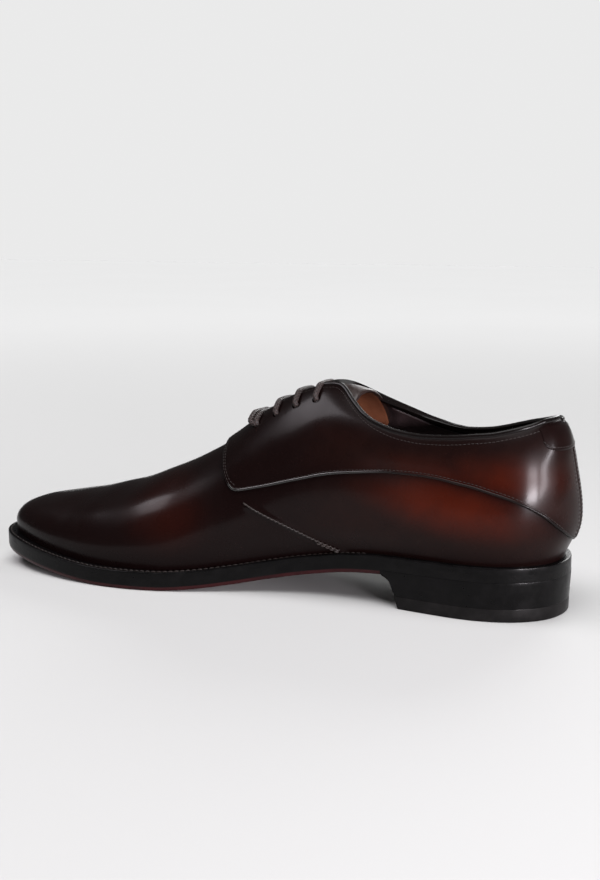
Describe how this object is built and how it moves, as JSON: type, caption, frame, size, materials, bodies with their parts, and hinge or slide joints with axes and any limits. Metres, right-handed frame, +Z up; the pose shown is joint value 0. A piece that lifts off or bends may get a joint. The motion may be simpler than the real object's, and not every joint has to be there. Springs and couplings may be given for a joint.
{
  "type": "derby shoe",
  "caption": "Right-foot leather derby shoe with open lacing, plain toe, piped quarter seam, welted leather sole and low stacked heel, standing empty.",
  "frame": {"origin": "on the floor, under the middle of the shoe's overall box", "axes": "+Z up; the toe points along -X and the heel along +X; the inner side of the foot faces -Y and the outer side +Y"},
  "size_m": [0.3076, 0.1008, 0.1057],
  "materials": {
    "polished_calf": "gloss",
    "tongue_calf": "satin",
    "sock_leather": "matte",
    "black_edge": "satin",
    "sole_leather": "satin",
    "heel_rubber": "matte",
    "waxed_cord": "matte"
  },
  "bodies": {
    "root": {"upper": "polished_calf", "tongue": "tongue_calf", "insole": "sock_leather", "welt": "black_edge", "outsole": "sole_leather", "heel_stack": "black_edge", "heel_top_piece": "heel_rubber", "lace_bar_1": "waxed_cord", "lace_bar_2": "waxed_cord", "lace_bar_3": "waxed_cord", "lace_bar_4": "waxed_cord"}
  },
  "joints": []
}
